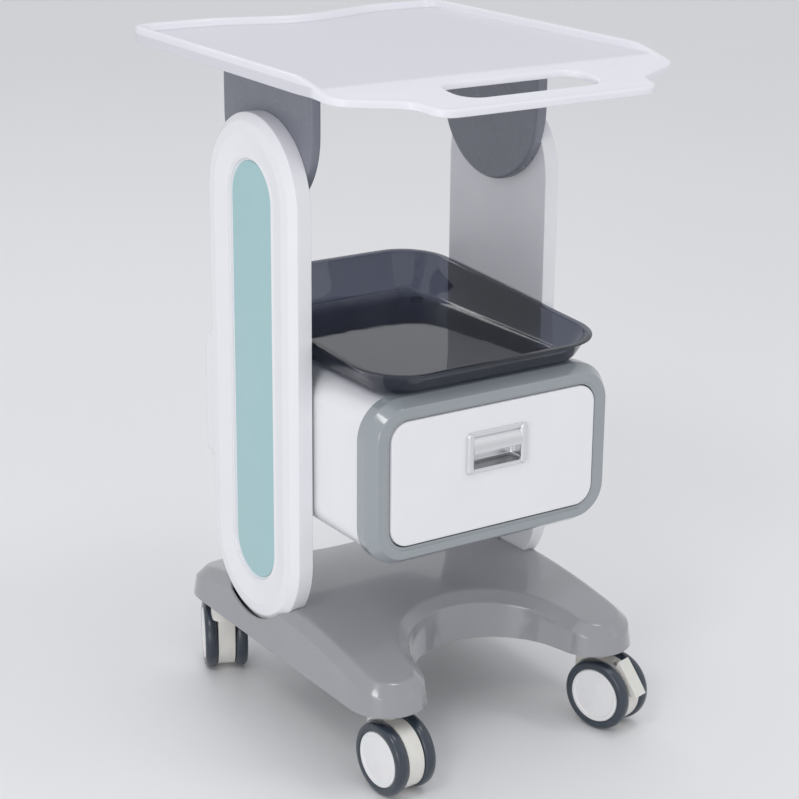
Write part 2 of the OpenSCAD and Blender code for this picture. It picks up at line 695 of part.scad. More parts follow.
module brake_pedal() color("ivory") difference() {
    union() {
        along(-pedal_w / 2, pedal_w / 2) polygon(concat(
            [for (a = [pedal_from:4:pedal_to]) at_angle(a, pedal_in_r)],
            [for (a = [pedal_to:-4:pedal_from]) at_angle(a, pedal_lobe(a))]));
        along(-pedal_lug_w / 2, pedal_lug_w / 2) {
            translate(pedal_pivot) circle(5);
            polygon([pedal_pivot + [-3, 3], pedal_pivot + [3, -4], at_angle(38, pedal_in_r + 2), at_angle(58, pedal_in_r + 2)]);
        }
    }
    translate([pedal_pivot.x, hood_w, pedal_pivot.y]) rotate([90, 0, 0])
        cylinder(r = pedal_pin_r + running, h = 2 * hood_w);
}

module pedal_pin() color("silver") translate([pedal_pivot.x, hood_w / 2, pedal_pivot.y])
    rotate([90, 0, 0]) cylinder(r = pedal_pin_r, h = hood_w);

// ---- the parts ----

base_shell();
base_frame();
frame_bolts();
top_tray();
smoked_tray();
cabinet_shell();
cabinet_bezel();
drawer_box();
drawer_front();
pull_frame();
pull_grip();

for (i = [0, 1]) at_side(i) {
    column_shell();
    column_cover();
    accent_strip();
    post();
    ear();
    cabinet_rail();
    mid_rail();
    drawer_rail();
}

for (i = [0:3]) translate([swivel[i].x, swivel[i].y, 0]) rotate(caster_turn[i]) {
    caster_stem();
    caster_hood(braked[i]);
    caster_axle();
    hub(outer_side[i]);
    tyre(outer_side[i]);
    hub(-outer_side[i]);
    tyre(-outer_side[i]);
    if (braked[i]) {
        brake_pedal();
        pedal_pin();
    }
}
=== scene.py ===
# Equipment trolley: detailed pieces and finishes around the fixed CAD frame.
# Lengths in the dictionaries are millimetres; the frame's own boxes give the places.
import math

import bmesh
import bpy
import numpy as np
from mathutils import Matrix, Vector
from mathutils.geometry import delaunay_2d_cdt


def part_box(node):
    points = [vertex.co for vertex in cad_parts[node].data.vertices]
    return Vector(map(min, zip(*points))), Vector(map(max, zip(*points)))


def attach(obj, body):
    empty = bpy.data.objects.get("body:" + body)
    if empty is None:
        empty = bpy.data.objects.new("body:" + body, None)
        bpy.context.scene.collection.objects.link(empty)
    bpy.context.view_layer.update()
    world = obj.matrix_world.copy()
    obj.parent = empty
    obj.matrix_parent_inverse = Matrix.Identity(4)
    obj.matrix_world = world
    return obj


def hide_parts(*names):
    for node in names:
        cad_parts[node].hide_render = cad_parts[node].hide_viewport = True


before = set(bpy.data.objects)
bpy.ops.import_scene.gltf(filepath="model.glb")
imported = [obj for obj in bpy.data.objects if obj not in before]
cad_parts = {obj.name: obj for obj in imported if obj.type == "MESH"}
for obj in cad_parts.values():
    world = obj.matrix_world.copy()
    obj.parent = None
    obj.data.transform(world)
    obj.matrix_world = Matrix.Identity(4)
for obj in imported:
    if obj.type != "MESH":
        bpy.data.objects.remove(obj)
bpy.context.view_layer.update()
print("frame loaded,", len(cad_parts), "nodes")

mm = 0.001


def boxMm(node):  # lowest and highest corner of a CAD node, in mm
    low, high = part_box(node)
    return [c / mm for c in low], [c / mm for c in high]


# camera, at eye height to the front left

cameraSet = {
    "place": (-1532.9, -2302.2, 1374.2),
    "yaw": 33.45,    # degrees from +Y towards +X
    "pitch": 18.69,  # degrees below the horizon
    "roll": 0.52,
    "lens": 95.37,   # mm on a 36 mm sensor
}


def makeCamera(s):
    data = bpy.data.cameras.new("camera")
    data.lens = s["lens"]
    data.sensor_width = 36
    data.clip_end = 60
    camera = bpy.data.objects.new("camera", data)
    bpy.context.scene.collection.objects.link(camera)
    turn = Matrix.Rotation(math.radians(-s["yaw"]), 4, "Z") @ Matrix.Rotation(math.radians(90 - s["pitch"]), 4, "X")
    turn = turn @ Matrix.Rotation(math.radians(s["roll"]), 4, "Z")
    camera.matrix_world = Matrix.Translation(Vector(s["place"]) * mm) @ turn
    bpy.context.scene.camera = camera


makeCamera(cameraSet)
bpy.context.scene.view_settings.view_transform = "Standard"

# materials


def linear(hexColour):  # sRGB hex to the linear colour that a shader takes
    parts = [int(hexColour[i:i + 2], 16) / 255 for i in (1, 3, 5)]
    return tuple(c / 12.92 if c <= 0.04045 else ((c + 0.055) / 1.055) ** 2.4 for c in parts) + (1.0,)


def addNode(tree, kind, inputs=None, **settings):  # one node with its settings, values and links
    node = tree.nodes.new(kind)
    for key, value in settings.items():
        setattr(node, key, value)
    for key, value in (inputs or {}).items():
        if isinstance(value, bpy.types.NodeSocket):
            tree.links.new(value, node.inputs[key])
        else:
            node.inputs[key].default_value = value
    return node


def newMaterial(name):
    material = bpy.data.materials.new(name)
    material.use_nodes = True
    tree = material.node_tree
    tree.nodes.clear()
    shader = addNode(tree, "ShaderNodeBsdfPrincipled")
    addNode(tree, "ShaderNodeOutputMaterial", {"Surface": shader.outputs["BSDF"]})
    place = addNode(tree, "ShaderNodeTexCoord").outputs["Object"]
    return material, tree, shader, place


def setFinish(shader, **values):
    for key, value in values.items():
        shader.inputs[key.replace("_", " ")].default_value = value


def mottle(tree, place, shader, light, dark, sizeMm, roughness, spread):
    # slow drift of colour and gloss, as flow in the mould and handling leave
    cloud = addNode(tree, "ShaderNodeTexNoise", {"Vector": place, "Scale": 1 / (sizeMm * mm), "Detail": 3.0})
    blend = addNode(tree, "ShaderNodeMix", {"Factor": cloud.outputs["Fac"], "A": linear(light), "B": linear(dark)},
                    data_type="RGBA")
    tree.links.new(blend.outputs["Result"], shader.inputs["Base Color"])
    gloss = addNode(tree, "ShaderNodeMapRange", {"Value": cloud.outputs["Fac"], "To Min": roughness - spread,
                                                 "To Max": roughness + spread})
    tree.links.new(gloss.outputs["Result"], shader.inputs["Roughness"])


def grain(tree, place, shader, spacingMm, heightMm):
    # fine surface grain; spacing is the real pitch of the texture
    fine = addNode(tree, "ShaderNodeTexNoise", {"Vector": place, "Scale": 1 / (spacingMm * mm), "Detail": 2.0})
    bump = addNode(tree, "ShaderNodeBump", {"Height": fine.outputs["Fac"], "Distance": heightMm * mm,
                                            "Strength": 1.0})
    tree.links.new(bump.outputs["Normal"], shader.inputs["Normal"])


def mouldedAbs(name, s):
    material, tree, shader, place = newMaterial(name)
    setFinish(shader, IOR=1.53, Coat_Weight=s["coat"], Coat_Roughness=0.06)
    mottle(tree, place, shader, s["light"], s["dark"], 60, s["roughness"], 0.03)
    grain(tree, place, shader, s["grainMm"], s["heightMm"])
    return material


# gloss moulded ABS: clean white, broad soft reflections, slight orange peel
whiteAbs = mouldedAbs("gloss_white_abs", {
    "light": "#f3f3f6", "dark": "#eeeef2", "roughness": 0.24, "coat": 0.25, "grainMm": 3.0, "heightMm": 0.01})
# satin moulded ABS of the top tray: a finer grain scatters the light
trayAbs = mouldedAbs("satin_white_abs", {
    "light": "#f0f0f5", "dark": "#eaeaf1", "roughness": 0.34, "coat": 0.1, "grainMm": 1.2, "heightMm": 0.02})
# moulded ABS of the inner covers, light grey with a satin face
coverAbs = mouldedAbs("satin_grey_abs", {
    "light": "#ededf1", "dark": "#e6e6ec", "roughness": 0.38, "coat": 0.05, "grainMm": 1.2, "heightMm": 0.02})
# gloss grey ABS of the base, which mirrors the studio along its rounded shoulders
baseAbs = mouldedAbs("gloss_grey_abs", {
    "light": "#9a9ba0", "dark": "#959699", "roughness": 0.16, "coat": 0.8, "grainMm": 4.0, "heightMm": 0.008})
# gloss blue-grey ABS of the cabinet's bezel
bezelAbs = mouldedAbs("bezel_grey_abs", {
    "light": "#9ba2a6", "dark": "#969da1", "roughness": 0.18, "coat": 0.8, "grainMm": 4.0, "heightMm": 0.008})
# teal ABS insert, coloured right through
tealAbs = mouldedAbs("teal_abs", {
    "light": "#a9ced1", "dark": "#a2c8cb", "roughness": 0.3, "coat": 0.2, "grainMm": 2.0, "heightMm": 0.01})


def shadeTrayFloor(material, s):
    # the tray's floor, behind the crease and below the rim's top, is coloured greyer than its rim and handle
    tree = material.node_tree
    shader = next(n for n in tree.nodes if n.type == "BSDF_PRINCIPLED")
    source = shader.inputs["Base Color"].links[0].from_socket
    place = addNode(tree, "ShaderNodeTexCoord").outputs["Object"]
    axes = addNode(tree, "ShaderNodeSeparateXYZ", {"Vector": place}).outputs
    behind = addNode(tree, "ShaderNodeMapRange", {"Value": axes["Y"], "From Min": (s["crease"] - 6) * mm,
                                                  "From Max": (s["crease"] + 6) * mm})
    below = addNode(tree, "ShaderNodeMapRange", {"Value": axes["Z"], "From Min": (s["floor"] + 0.4) * mm,
                                                 "From Max": (s["floor"] + 2.5) * mm, "To Min": 1.0, "To Max": 0.0})
    both = addNode(tree, "ShaderNodeMath", {0: behind.outputs["Result"], 1: below.outputs["Result"]},
                   operation="MULTIPLY")
    blend = addNode(tree, "ShaderNodeMix", {"Factor": both.outputs["Value"], "A": source, "B": linear(s["colour"])},
                    data_type="RGBA")
    tree.links.new(blend.outputs["Result"], shader.inputs["Base Color"])


shadeTrayFloor(trayAbs, {"crease": -184, "floor": 922, "colour": "#dcdbe3"})


def powderCoat(name, light, dark, roughness):
    # baked powder: an even film with a fine pebble, duller than paint
    material, tree, shader, place = newMaterial(name)
    setFinish(shader, IOR=1.5, Metallic=0.0)
    mottle(tree, place, shader, light, dark, 40, roughness, 0.03)
    grain(tree, place, shader, 0.9, 0.03)  # real pebble is 0.4 mm, drawn coarser to show
    return material


earCoat = powderCoat("slate_powder_coat", "#81848e", "#7b7e88", 0.27)
chassisCoat = powderCoat("dark_powder_coat", "#4a4b50", "#434449", 0.45)


def drawnSteel(name, colour, roughness, stretch, lineMm):
    # fine parallel lines from drawing or brushing, with the sheen stretched across them
    material, tree, shader, place = newMaterial(name)
    setFinish(shader, Metallic=1.0, Base_Color=linear(colour), Anisotropic=0.4)
    along = addNode(tree, "ShaderNodeMapping", {"Vector": place, "Scale": stretch})
    lines = addNode(tree, "ShaderNodeTexNoise", {"Vector": along.outputs["Vector"], "Scale": 1 / (lineMm * mm),
                                                 "Detail": 4.0})
    gloss = addNode(tree, "ShaderNodeMapRange", {"Value": lines.outputs["Fac"], "To Min": roughness - 0.08,
                                                 "To Max": roughness + 0.08})
    tree.links.new(gloss.outputs["Result"], shader.inputs["Roughness"])
    bump = addNode(tree, "ShaderNodeBump", {"Height": lines.outputs["Fac"], "Distance": 0.01 * mm, "Strength": 0.6})
    tree.links.new(bump.outputs["Normal"], shader.inputs["Normal"])
    return material


railSteel = drawnSteel("zinc_plated_steel", "#c9ccd0", 0.32, (1.0, 0.05, 1.0), 1.0)
pinSteel = drawnSteel("turned_steel", "#c3c5c8", 0.26, (1.0, 1.0, 0.1), 0.8)
pullNickel = drawnSteel("satin_nickel", "#e6e7e9", 0.36, (0.04, 1.0, 1.0), 0.8)


def smokedAcrylic(name):
    # tinted acrylic sheet, drawn and flame polished: dark where two walls lie behind each other
    material, tree, shader, place = newMaterial(name)
    setFinish(shader, IOR=1.49, Roughness=0.05, Transmission_Weight=0.9, Base_Color=linear("#5b6070"))
    ripple = addNode(tree, "ShaderNodeTexNoise", {"Vector": place, "Scale": 1 / (45 * mm), "Detail": 1.0})
    bump = addNode(tree, "ShaderNodeBump", {"Height": ripple.outputs["Fac"], "Distance": 0.25 * mm, "Strength": 1.0})
    tree.links.new(bump.outputs["Normal"], shader.inputs["Normal"])
    return material


smokedSheet = smokedAcrylic("smoked_acrylic")


def mouldedNylon(name, light, dark, roughness):
    # moulded nylon: waxy off-white with light scattered just under the skin
    material, tree, shader, place = newMaterial(name)
    setFinish(shader, IOR=1.53, Subsurface_Weight=0.1, Subsurface_Scale=1.5 * mm)
    mottle(tree, place, shader, light, dark, 12, roughness, 0.05)
    grain(tree, place, shader, 0.8, 0.02)
    return material


hoodNylon = mouldedNylon("offwhite_nylon", "#eae9e4", "#dedcd5", 0.4)
hubPlastic = mouldedNylon("pale_polypropylene", "#f0f0f1", "#e9e9ea", 0.34)


def castPolyurethane(name):
    # cast polyurethane tread: dark blue-grey, half gloss, dusty where it rolls
    material, tree, shader, place = newMaterial(name)
    setFinish(shader, IOR=1.5, Coat_Weight=0.3, Coat_Roughness=0.15)
    mottle(tree, place, shader, "#39424e", "#303843", 14, 0.3, 0.06)
    grain(tree, place, shader, 0.9, 0.02)
    return material


treadPu = castPolyurethane("blue_grey_polyurethane")
print("materials made")

# outlines: lists of (x, y, inward x, inward y), counter-clockwise


def arc(cx, cy, r, fromDeg, toDeg, steps):
    side = -1 if toDeg > fromDeg else 1
    angles = [math.radians(fromDeg + (toDeg - fromDeg) * i / steps) for i in range(steps + 1)]
    return [(cx + r * math.cos(a), cy + r * math.sin(a), side * math.cos(a), side * math.sin(a)) for a in angles]


def mirrorX(outline):
    return [(-x, y, -nx, ny) for x, y, nx, ny in reversed(outline)]


def roundRect(x0, y0, x1, y1, r, steps=10):
    corners = ((x1 - r, y0 + r, -90), (x1 - r, y1 - r, 0), (x0 + r, y1 - r, 90), (x0 + r, y0 + r, 180))
    return [p for cx, cy, a in corners for p in arc(cx, cy, r, a, a + 90, steps)]


def evenOutline(outline, spacing, passes):
    # evenly spaced points, smoothed a little, with fresh inward directions
    points = np.array([p[:2] for p in outline])
    closed = np.vstack([points, points[:1]])
    run = np.concatenate([[0], np.cumsum(np.linalg.norm(np.diff(closed, axis=0), axis=1))])
    count = int(run[-1] / spacing)
    at = np.linspace(0, run[-1], count, endpoint=False)
    even = np.column_stack([np.interp(at, run, closed[:, k]) for k in (0, 1)])
    for _ in range(passes):
        even = (np.roll(even, 1, 0) + 2 * even + np.roll(even, -1, 0)) / 4
    tangent = np.roll(even, -1, 0) - np.roll(even, 1, 0)
    tangent /= np.linalg.norm(tangent, axis=1)[:, None]
    return [(p[0], p[1], -t[1], t[0]) for p, t in zip(even, tangent)]


def inset(outline, d):
    return [(x + nx * d, y + ny * d) for x, y, nx, ny in outline]


# meshes


def evenShading(piece):  # flat faces stay flat beside their small rounds
    piece.modifiers.new("even_shading", "WEIGHTED_NORMAL").keep_sharp = True


class Shell:  # gathers closed surfaces in mm and turns them into one object
    def __init__(self):
        self.points = []
        self.faces = []

    def rings(self, rings, loop=False, caps=(False, False)):
        first = len(self.points)
        n = len(rings[0])
        for ring in rings:
            self.points += [tuple(p) for p in ring]
        last = len(rings) if loop else len(rings) - 1
        for j in range(last):
            a, b = first + j * n, first + (j + 1) % len(rings) * n
            for i in range(n):
                k = (i + 1) % n
                self.faces.append((a + i, a + k, b + k, b + i))
        if caps[0]:
            self.faces.append(tuple(range(first + n - 1, first - 1, -1)))
        if caps[1]:
            end = first + (len(rings) - 1) * n
            self.faces.append(tuple(range(end, end + n)))
        return first

    def fill(self, loops, starts, height, spacing):
        # triangles between an outer loop and its holes, with inner points on a grid
        flat = [p for loop in loops for p in loop]
        index = [starts[k] + i for k, loop in enumerate(loops) for i in range(len(loop))]
        edges = []
        base = 0
        for loop in loops:
            edges += [(base + i, base + (i + 1) % len(loop)) for i in range(len(loop))]
            base += len(loop)
        rim = np.array(flat)
        low, high = rim.min(0), rim.max(0)
        grid = [np.array((x, y)) for x in np.arange(low[0] + spacing, high[0], spacing)
                for y in np.arange(low[1] + spacing, high[1], spacing)]
        grid = [g for g in grid if np.min(np.linalg.norm(rim - g, axis=1)) > 0.6 * spacing and inRegion(g, loops)]
        for g in grid:
            index.append(len(self.points))
            self.points.append((g[0], g[1], height(g[0], g[1])))
        every = [Vector(p) for p in flat] + [Vector(g) for g in grid]
        got = delaunay_2d_cdt(every, edges, [], 0, 1e-5)
        where, faces, origin = got[0], got[2], got[3]
        for face in faces:
            middle = sum((where[i] for i in face), Vector((0, 0))) / len(face)
            if inRegion(middle, loops):
                self.faces.append(tuple(index[origin[i][0]] for i in face))

    def build(self, name, material, body, replaces=(), sharp=32, matrix=None):
        mesh = bpy.data.meshes.new(name)
        mesh.from_pydata([tuple(c * mm for c in p) for p in self.points], [], self.faces)
        if matrix is not None:
            mesh.transform(matrix)
        work = bmesh.new()
        work.from_mesh(mesh)
        bmesh.ops.remove_doubles(work, verts=work.verts, dist=1e-6)
        bmesh.ops.recalc_face_normals(work, faces=work.faces)
        work.to_mesh(mesh)
        work.free()
        mesh.shade_smooth()
        mesh.set_sharp_from_angle(angle=math.radians(sharp))
        mesh.materials.append(material)
        piece = bpy.data.objects.new(name, mesh)
        bpy.context.scene.collection.objects.link(piece)
        evenShading(piece)
        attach(piece, body)
        if replaces:
            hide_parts(*replaces)
        return piece


def inRegion(point, loops):
    def inside(loop):
        x, y = point[0], point[1]
        hit = False
        for i in range(len(loop)):
            x0, y0 = loop[i]
            x1, y1 = loop[i - 1]
            if (y0 > y) != (y1 > y) and x < (x1 - x0) * (y - y0) / (y1 - y0) + x0:
                hit = not hit
        return hit
    return inside(loops[0]) and not any(inside(hole) for hole in loops[1:])


def softRamp(t, width):  # zero below 0 and t above it, eased over the width
    return (t + math.sqrt(t * t + width * width)) / 2


def ease(t):  # 0 to 1, level at both ends
    t = min(1, max(0, t))
    return (1 - math.cos(math.pi * t)) / 2

# top tray: rim on three sides, floor sloping to a handle with a hand slot

tray = {
    "half": (arc(144, -289, 24, -90, 0, 8), arc(198, -289, 30, 180, 115, 8), arc(225, -203.6, 36, -65, 0.64, 8),
             arc(224, 283, 30, 0.64, 90, 8)),
    "rearY": 313, "scoopDeep": 34, "scoopHalf": 155,
    "top": 932, "floor": 922, "crease": -184, "slope": math.tan(math.radians(6.3)),
    "fadeStart": -133.6, "fade": 80,  # where the rim starts to fall, and over what length
    "rim": 9, "skirt": 22, "wall": 3.5, "handle": 10, "edge": 3.4,
    "slot": (-106, -278, 106, -212, 26),
}


def makeTopTray(s):
    scoop = []
    for i in range(13):
        x = s["scoopHalf"] * (1 - i / 12)
        y = s["rearY"] - s["scoopDeep"] * (1 + math.cos(math.pi * x / s["scoopHalf"])) / 2
        scoop.append((x, y, 0, -1))
    right = [p for part in s["half"] for p in part] + scoop
    outline = evenOutline(right + mirrorX(right), 5, 3)

    def floor(y):
        return s["floor"] - softRamp(s["crease"] - y, 12) * s["slope"]

    def falling(y):
        return ease((s["fadeStart"] - y) / s["fade"])

    def top(y):
        return s["top"] + (floor(y) - s["top"]) * falling(y)

    def under(y):
        return s["top"] - s["skirt"] + (floor(y) - s["handle"] - s["top"] + s["skirt"]) * falling(y)

    def inner(y):  # underside behind the skirt
        return floor(y) - s["wall"] + (s["wall"] - s["handle"]) * ease((s["crease"] + 12 - y) / 24)

    e = s["edge"]
    quarter = np.radians((0, 22, 45, 68, 90))
    sections = [(s["wall"] + 1, lambda y: inner(y)), (s["wall"], lambda y: under(y) + 0.3)]
    half = e * 0.5  # the lower edge is rounded half as much
    sections += [(half * (1 - math.sin(a)), lambda y, a=a: under(y) + half * (1 - math.cos(a))) for a in quarter]
    sections += [(e * (1 - math.cos(a)), lambda y, a=a: top(y) - e * (1 - math.sin(a))) for a in quarter]
    # the rim's inner edge falls to the floor in an S
    for t in (0.0, 0.15, 0.35, 0.6, 0.8, 1.0):
        sections.append((s["rim"] - 2.5 + 8 * t, lambda y, t=t: floor(y) + (top(y) - floor(y)) * (1 - ease(t))))
    shell = Shell()
    rings = [[(x, y, z(p[1])) for (x, y), p in zip(inset(outline, d), outline)] for d, z in sections]
    first = shell.rings(rings)
    slot = roundRect(*s["slot"], steps=12)
    slot = evenOutline(slot, 5, 1)
    slotSections = [(-e, lambda y: floor(y)), (-0.7 * e, lambda y: floor(y) - 0.1 * e),
                    (-0.3 * e, lambda y: floor(y) - 0.35 * e),
                    (0, lambda y: floor(y) - e), (0, lambda y: floor(y) - s["handle"] + e),
                    (-0.3 * e, lambda y: floor(y) - s["handle"] + 0.3 * e), (-e, lambda y: floor(y) - s["handle"])]
    slotRings = [[(x, y, z(y)) for x, y in inset(slot, d)] for d, z in slotSections]
    slotFirst = shell.rings(slotRings)
    last = len(rings) - 1
    shell.fill([[p[:2] for p in rings[last]], [p[:2] for p in slotRings[0]]],
               [first + last * len(outline), slotFirst], lambda x, y: floor(y), 16)
    end = len(slotRings) - 1
    shell.fill([[p[:2] for p in rings[0]], [p[:2] for p in slotRings[end]]],
               [first, slotFirst + end * len(slot)], lambda x, y: inner(y), 22)
    shell.build("top_tray_moulding", trayAbs, "frame", ["top_tray"], 40)


makeTopTray(tray)
print("top tray")

# columns: stadium shells with a raised ring, a teal strip sunk in the middle

column = {
    "y": 57.5, "low": 253.5, "high": 735, "steps": 40,
    # distance from the centre line and from the mid plane, back to front
    "shell": ((40, 203.4), (111.4, 204.6), (111.4, 185.8), (113.6, 185.8), (114, 186.3), (114, 205.6), (113.7, 206.6),
              (113.1, 207.5), (104.2, 213.9), (103, 214.6), (101.6, 214.9), (90, 215.7), (88, 216), (86.2, 215.7),
              (62, 210.9), (60.4, 210.7), (58.8, 210.9), (56.2, 211.5), (54.8, 211.4), (53.8, 210.4), (53.4, 208.4),
              (51.4, 207.6), (51.3, 206.6)),
    "strip": ((50.9, 206.7), (50.9, 208.2), (50.2, 208.9), (44, 209.2), (30, 209.6), (12, 209.8)),
}


def stadium(y, low, high, r, steps):
    return arc(y, low, r, 180, 360, steps) + arc(y, high, r, 0, 180, steps)


def makeColumn(side, name, s):
    for key, material, slot in (("shell", whiteAbs, "white_shell"), ("strip", tealAbs, "accent_teal")):
        shell = Shell()
        rings = [[(side * x, p[0], p[1]) for p in stadium(s["y"], s["low"], s["high"], r, s["steps"])]
                 for r, x in s[key]]
        shell.rings(rings, caps=(True, True))
        node = name + {"shell": "_column_shell", "strip": "_accent_strip"}[key]
        shell.build(node + "_piece", material, "frame", [node], 34)


for side, name in ((-1, "left"), (1, "right")):
    makeColumn(side, name, column)
print("columns")

# ears: steel plates between the columns and the tray, half round below

ear = {
    "x": (169.7, 185.7), "y": (-56.5, 171.5), "centre": (57.5, 834), "r": 114, "top": 918.5,
    "flare": 7, "flareHigh": 26, "edge": 4.5,
}


def makeEar(side, name, s):
    lower = arc(*s["centre"], s["r"], 180, 360, 40)
    rise = [(0, z) for z in np.linspace(s["centre"][1], s["top"], 12)[1:]]

    def flare(z):  # the upper front corner sweeps forward to meet the tray
        return s["flare"] * max(0, (z - s["top"] + s["flareHigh"]) / s["flareHigh"]) ** 2

    back = [(s["y"][1], z, 0, 0) for _, z in rise]
    front = [(s["y"][0] - flare(z), z, 0, 0) for _, z in reversed(rise)]
    outline = evenOutline(lower + back + front, 4, 1)
    e = s["edge"]
    x0, x1 = s["x"]
    sections = [(e * (1 - math.sin(a)), x0 + e * (1 - math.cos(a))) for a in np.radians((0, 30, 60, 90))]
    sections += [(e * (1 - math.cos(a)), x1 - e * (1 - math.sin(a))) for a in np.radians((0, 30, 60, 90))]
    shell = Shell()
    shell.rings([[(side * x, p[0], p[1]) for p in inset(outline, d)] for d, x in sections], caps=(True, True))
    shell.build(name + "_ear_plate", earCoat, "frame", [name + "_ear"], 50)


for side, name in ((-1, "left"), (1, "right")):
    makeEar(side, name, ear)
print("ears")

# cabinet: white shell, grey bezel, drawer front with a metal pull


def across(outline, d, y):  # outline in X and Z, placed at y
    return [(p[0], y, p[1]) for p in inset(outline, d)]


cabinet = {
    "box": (-181.5, 304, 181.5, 517, 34), "front": -176, "rear": 247, "wall": 4,
    "pad": (27.5, 344, 87.5, 497, 5), "padX": (180.5, 185.6),
}


def makeCabinet(s):
    outline = roundRect(*s["box"], steps=12)
    shell = Shell()
    w = s["wall"]
    shell.rings([across(outline, d, y) for d, y in (
        (w, s["rear"] - w), (w, s["front"]), (0, s["front"]), (0, s["rear"] - 6), (0.8, s["rear"] - 3),
        (2.8, s["rear"] - 0.8), (6, s["rear"]))], caps=(True, True))
    for side in (-1, 1):
        pad = roundRect(*s["pad"], steps=5)
        shell.rings([[(side * x, p[0], p[1]) for p in pad] for x in s["padX"]], caps=(True, True))
    shell.build("cabinet_moulding", whiteAbs, "frame", ["cabinet_shell"], 40)


makeCabinet(cabinet)

bezel = {
    "outer": (-192, 295.93, 192, 521.42, 54), "opening": (-163.5, 322.2, 163.5, 495.2, 28.5), "steps": 14,
    # inset from the outer edge, then from the opening, each with its place along Y
    "outside": ((0, -176), (0, -191.5), (0.25, -193), (0.9, -194.4), (9.6, -207.6), (10.8, -208.9), (12.3, -209.4),
                (20.5, -210.3), (21.5, -210.5), (22.4, -210.2)),
    "inside": ((-4.2, -208.9), (-3.4, -208.6), (-1, -208.6), (0, -207.8), (0, -176)),
}


def makeFrontPlate(s, node, material, body):  # a plate with an opening, both with round corners
    outer, opening = (roundRect(*s[key], steps=s["steps"]) for key in ("outer", "opening"))
    shell = Shell()
    shell.rings([across(outer, d, y) for d, y in s["outside"]] + [across(opening, d, y) for d, y in s["inside"]],
                loop=True)
    shell.build(node + "_moulding", material, body, [node], 40)


makeFrontPlate(bezel, "cabinet_bezel", bezelAbs, "frame")

drawer = {
    "outer": (-162, 323.98, 162, 493.98, 27), "opening": (-42.2, 408.78, 42.2, 456.18, 6), "steps": 12,
    "outside": ((0, -192.6), (0, -207.4), (0.9, -209.6), (3.1, -210.6)),
    "inside": ((-1, -210.6), (0, -209.8), (0, -192.6)),
}


makeFrontPlate(drawer, "drawer_front", whiteAbs, "drawer")

pull = {
    "frame": (-48, 403.98, 48, 460.98, 6), "cup": (-42, 408.98, 42, 455.98, 6),
    "mouth": (-40.5, 410.48, 40.5, 454.48, 4.5),
    "face": -210.6, "proud": 3, "cupBack": -188.6, "wall": 1.5,
    "hoodAxis": (-201.6, 434.0), "hoodR": 23.4, "hoodDeep": 0.68, "hoodT": 2, "hoodHalf": 38.6,
    # each pillar's reach along X and corners, then its inset and how far it stands out of the frame
    "pillar": (37.4, 47.6), "pillarR": 5,
    "pillarSteps": ((0, -2), (0, 0.6), (0.5, 1.8), (1.5, 2.8), (3, 3.4), (4.6, 3.6)),
}


def makePull(s):
    outer, cup, mouth = (roundRect(*s[k], steps=8) for k in ("frame", "cup", "mouth"))
    front = s["face"] - s["proud"]
    shell = Shell()
    shell.rings([across(cup, 0, s["cupBack"]), across(cup, 0, s["face"]), across(outer, 0, s["face"]),
                 across(outer, 0, front + 1.4), across(outer, 0.5, front + 0.5), across(outer, 1.6, front),
                 across(mouth, -1.2, front), across(mouth, -0.3, front + 0.5), across(mouth, 0, front + 1.4),
                 across(mouth, 0, s["cupBack"] - s["wall"] - 7), across(mouth, 0.6, s["cupBack"] - s["wall"] - 3.6),
                 across(mouth, 2.4, s["cupBack"] - s["wall"] - 1.2), across(mouth, 4.4, s["cupBack"] - s["wall"])],
                caps=(True, True))
    shell.build("pull_frame_plate", pullNickel, "drawer", ["pull_frame"], 40)

    shell = Shell()
    cy, cz = s["hoodAxis"]
    r = s["hoodR"]
    angles = np.radians(np.linspace(72, 182, 23))

    def hoop(r, a):
        return cy + s["hoodDeep"] * r * math.cos(a), min(cz + r * math.sin(a), s["mouth"][3] + 3)

    sheet = [hoop(r, a) for a in angles] + [hoop(r - s["hoodT"], a) for a in angles[::-1]]
    shell.rings([[(x, y, z) for y, z in sheet] for x in (-s["hoodHalf"], s["hoodHalf"])], caps=(True, True))
    shell.build("pull_hood", pullNickel, "drawer", ["pull_grip"], 35)

    # a rounded pillar at each end of the frame, as high as the hood is deep
    shell = Shell()
    x0, x1 = s["pillar"]
    low, high = s["frame"][1] + 0.6, s["frame"][3] - 0.6
    for side in (-1, 1):
        pillar = roundRect(x0, low, x1, high, s["pillarR"], steps=8)
        shell.rings([[(side * px, front - out, pz) for px, pz in inset(pillar, d)] for d, out in s["pillarSteps"]],
                    caps=(True, True))
    shell.build("pull_pillars", pullNickel, "drawer", (), 40)


makePull(pull)
print("cabinet and drawer")

# smoked lift-out tray: thin flange, flared walls, large round corners

smoked = {
    "box": (-183, -220, 183, 240, 72), "bottom": 522.2, "rim": 555.2, "tilt": 0.06, "wall": 2.6, "flare": 26,
    "flange": 6.5, "feet": ((-128, -132), (128, -132), (-128, 168), (128, 168)),
    "foot": ((6, 523), (9, 522.8), (9, 518), (8, 517.05)),
}


